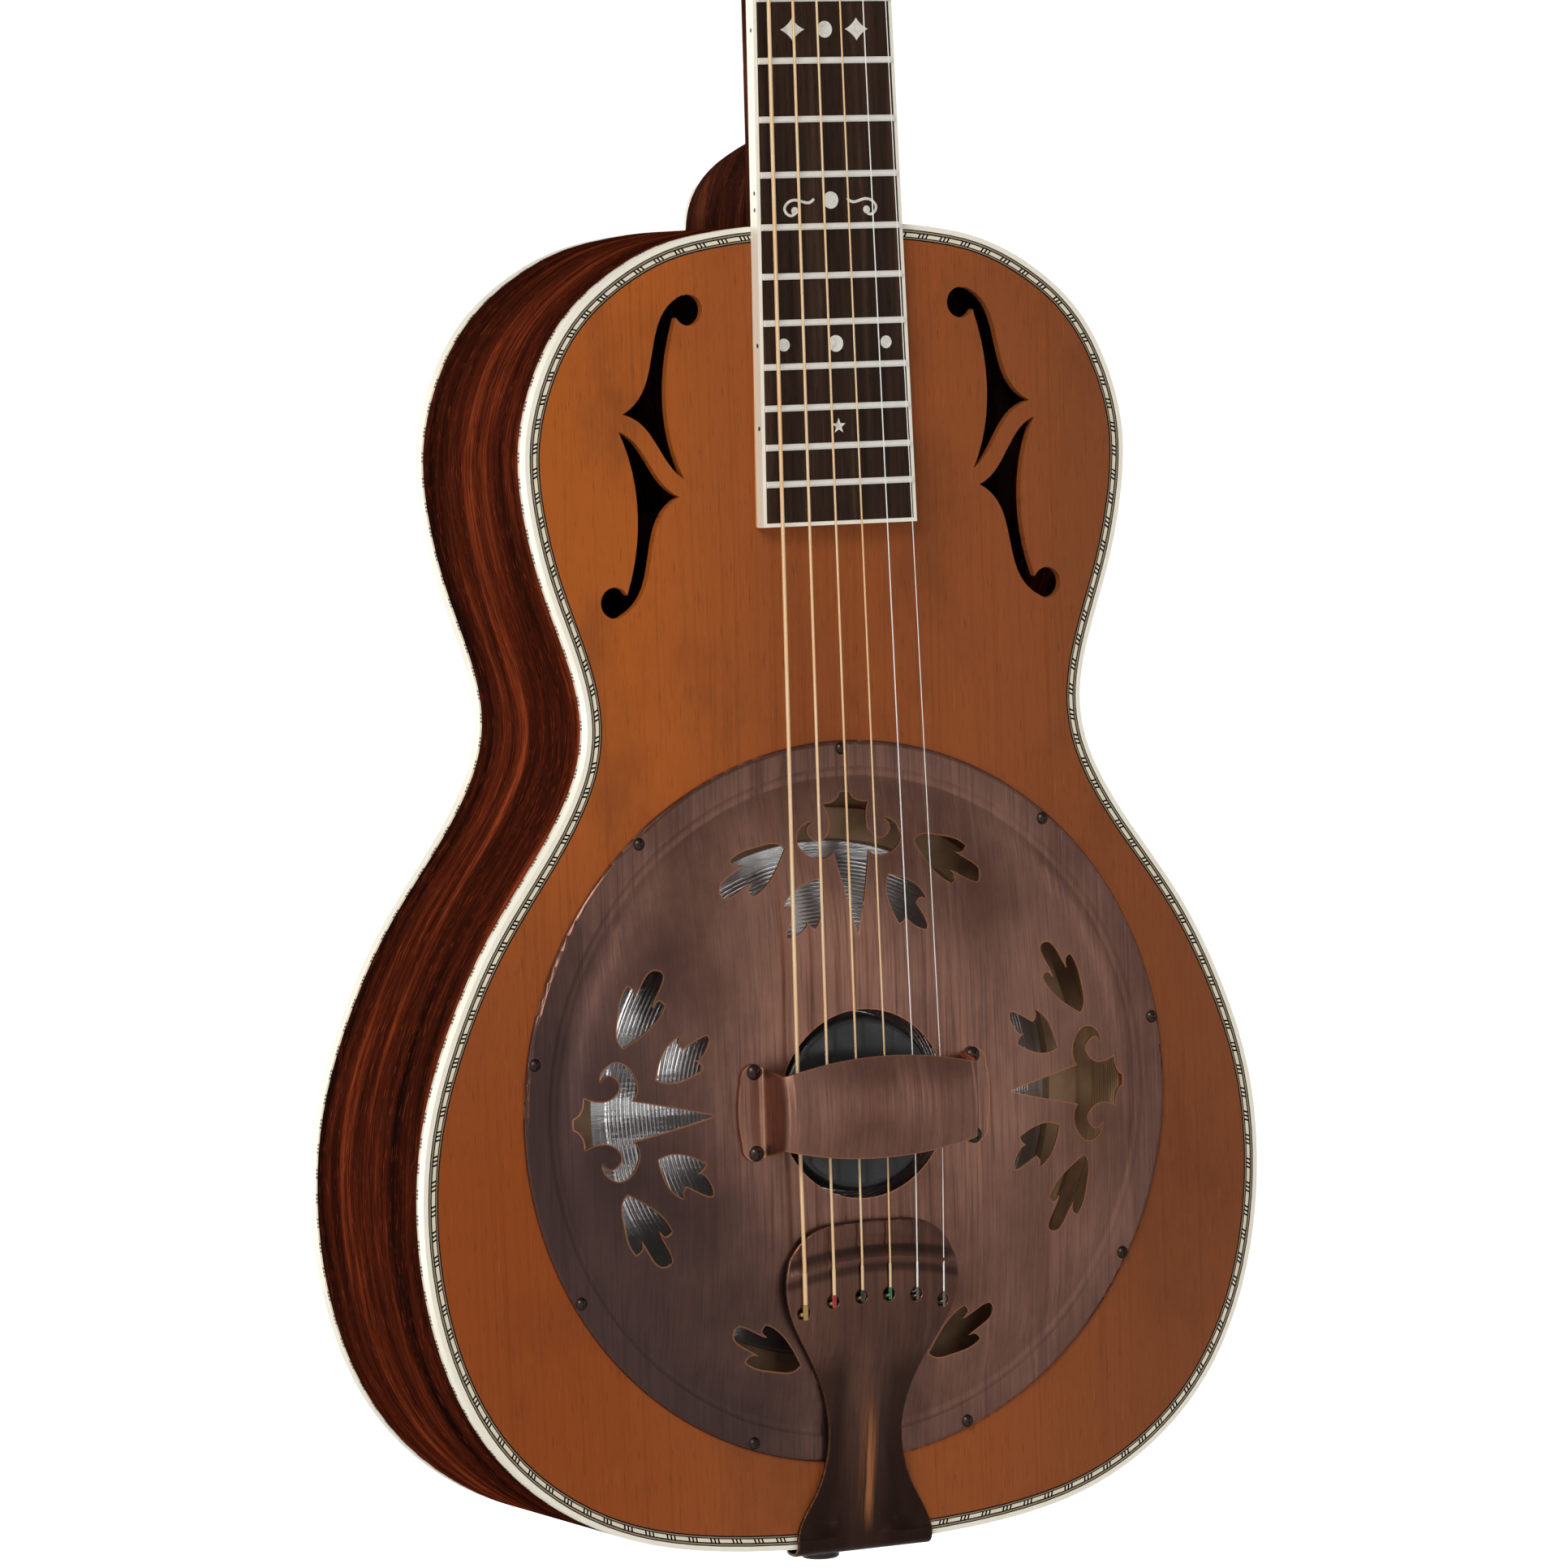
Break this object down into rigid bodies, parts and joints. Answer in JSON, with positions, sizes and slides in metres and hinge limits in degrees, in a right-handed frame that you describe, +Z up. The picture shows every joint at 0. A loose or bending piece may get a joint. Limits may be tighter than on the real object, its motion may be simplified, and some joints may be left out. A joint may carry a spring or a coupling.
{
  "type": "resonator guitar",
  "caption": "Wooden-bodied resonator guitar with a spun metal cone under a round pierced coverplate, a palm rest, a metal tailpiece and geared tuners.",
  "frame": {"origin": "on the nut line, on the plane of the soundboard, in the middle of the width: where a neck hanger holds the guitar", "axes": "+Z up the neck towards the head, +X to the treble side, -Y out of the soundboard"},
  "size_m": [0.3424, 0.1305, 0.9775],
  "materials": {
    "spruce_top": "aged satin lacquer over spruce, fine grain along the body",
    "mahogany_body": "aged satin lacquer over striped mahogany",
    "mahogany_neck": "satin lacquer over dark mahogany",
    "binding_cream": "aged cream celluloid, satin",
    "marquetry": "strip of ivory and black lines with slanted dashes",
    "side_line": "thin dashed light line",
    "spruce_raw": "bare spruce",
    "mahogany_raw": "bare mahogany",
    "plywood": "bare plywood with its layers at the edges",
    "maple": "bare maple",
    "spun_aluminium": "bright spun aluminium",
    "black_lacquer": "black satin lacquer",
    "dark_screw": "darkened steel",
    "nickel_screw": "nickel plated",
    "aged_copper": "brushed aged copper plate, satin",
    "rosewood": "oiled dark rosewood",
    "stained_wedge": "stained spruce wedge",
    "nickel_fret": "polished nickel silver",
    "pearl": "mother of pearl, polished",
    "black_plastic": "polished black plastic",
    "bone": "polished bone",
    "steel_rod": "plain steel",
    "nickel_hardware": "aged nickel plate",
    "ivoroid_button": "ivory coloured plastic",
    "bronze_string": "bronze wound steel",
    "plain_string": "plain tinned steel",
    "brass_ball": "turned brass"
  },
  "bodies": {
    "root": {"soundboard": "spruce_top", "back_plate": "mahogany_body", "bass_side": "mahogany_body", "treble_side": "mahogany_body", "top_binding": "binding_cream", "back_binding": "binding_cream", "top_purfling": "marquetry", "side_purfling": "side_line", "top_lining": "mahogany_raw", "back_lining": "mahogany_raw", "neck_block": "mahogany_raw", "tail_block": "mahogany_raw", "top_braces": "spruce_raw", "back_braces": "spruce_raw", "end_pin": "black_plastic", "soundwell": "plywood", "soundwell_posts": "maple", "cone": "spun_aluminium", "biscuit": "black_lacquer", "biscuit_screw": "nickel_screw", "saddle": "maple", "coverplate": "aged_copper", "coverplate_screws": "dark_screw", "palm_rest": "aged_copper", "palm_rest_screws": "dark_screw", "tailpiece": "aged_copper", "neck": "mahogany_neck", "heel_cap": "binding_cream", "truss_rod": "steel_rod", "truss_rod_cover": "black_plastic", "truss_cover_screws": "nickel_screw", "head_veneer": "rosewood", "fingerboard": "rosewood", "fingerboard_binding": "binding_cream", "frets": "nickel_fret", "inlays": "pearl", "side_dots": "black_plastic", "fingerboard_wedge": "stained_wedge", "nut": "bone", "tuner_plates": "nickel_hardware", "tuner_screws": "nickel_screw", "ball_ends": "brass_ball", "low_e_string": "bronze_string", "a_string": "bronze_string", "d_string": "bronze_string", "g_string": "bronze_string", "b_string": "plain_string", "high_e_string": "plain_string"},
    "low_e_key": {"low_e_key": "ivoroid_button"},
    "low_e_post": {"low_e_post": "nickel_hardware"},
    "a_key": {"a_key": "ivoroid_button"},
    "a_post": {"a_post": "nickel_hardware"},
    "d_key": {"d_key": "ivoroid_button"},
    "d_post": {"d_post": "nickel_hardware"},
    "g_key": {"g_key": "ivoroid_button"},
    "g_post": {"g_post": "nickel_hardware"},
    "b_key": {"b_key": "ivoroid_button"},
    "b_post": {"b_post": "nickel_hardware"},
    "high_e_key": {"high_e_key": "ivoroid_button"},
    "high_e_post": {"high_e_post": "nickel_hardware"}
  },
  "joints": [
    {"name": "low_e_key_turn", "type": "hinge", "parent": "root", "child": "low_e_key", "pos_m": [-0.03, 0.03192, 0.03519], "axis": [1, 0, 0], "continuous": true},
    {"name": "low_e_post_turn", "type": "hinge", "parent": "root", "child": "low_e_post", "pos_m": [-0.022, 0.01529, 0.04947], "axis": [0, -0.9673, 0.2535], "continuous": true},
    {"name": "a_key_turn", "type": "hinge", "parent": "root", "child": "a_key", "pos_m": [-0.03, 0.04104, 0.07002], "axis": [1, 0, 0], "continuous": true},
    {"name": "a_post_turn", "type": "hinge", "parent": "root", "child": "a_post", "pos_m": [-0.022, 0.02442, 0.0843], "axis": [0, -0.9673, 0.2535], "continuous": true},
    {"name": "d_key_turn", "type": "hinge", "parent": "root", "child": "d_key", "pos_m": [-0.03, 0.05017, 0.10484], "axis": [1, 0, 0], "continuous": true},
    {"name": "d_post_turn", "type": "hinge", "parent": "root", "child": "d_post", "pos_m": [-0.022, 0.03355, 0.11912], "axis": [0, -0.9673, 0.2535], "continuous": true},
    {"name": "g_key_turn", "type": "hinge", "parent": "root", "child": "g_key", "pos_m": [0.03, 0.05017, 0.10484], "axis": [1, 0, 0], "continuous": true},
    {"name": "g_post_turn", "type": "hinge", "parent": "root", "child": "g_post", "pos_m": [0.022, 0.03355, 0.11912], "axis": [0, -0.9673, 0.2535], "continuous": true},
    {"name": "b_key_turn", "type": "hinge", "parent": "root", "child": "b_key", "pos_m": [0.03, 0.04104, 0.07002], "axis": [1, 0, 0], "continuous": true},
    {"name": "b_post_turn", "type": "hinge", "parent": "root", "child": "b_post", "pos_m": [0.022, 0.02442, 0.0843], "axis": [0, -0.9673, 0.2535], "continuous": true},
    {"name": "high_e_key_turn", "type": "hinge", "parent": "root", "child": "high_e_key", "pos_m": [0.03, 0.03192, 0.03519], "axis": [1, 0, 0], "continuous": true},
    {"name": "high_e_post_turn", "type": "hinge", "parent": "root", "child": "high_e_post", "pos_m": [0.022, 0.01529, 0.04947], "axis": [0, -0.9673, 0.2535], "continuous": true}
  ],
  "couplings": [
    {"joint": "low_e_post_turn", "follows": "low_e_key_turn", "ratio": 0.071429},
    {"joint": "a_post_turn", "follows": "a_key_turn", "ratio": 0.071429},
    {"joint": "d_post_turn", "follows": "d_key_turn", "ratio": 0.071429},
    {"joint": "g_post_turn", "follows": "g_key_turn", "ratio": -0.071429},
    {"joint": "b_post_turn", "follows": "b_key_turn", "ratio": -0.071429},
    {"joint": "high_e_post_turn", "follows": "high_e_key_turn", "ratio": -0.071429}
  ]
}
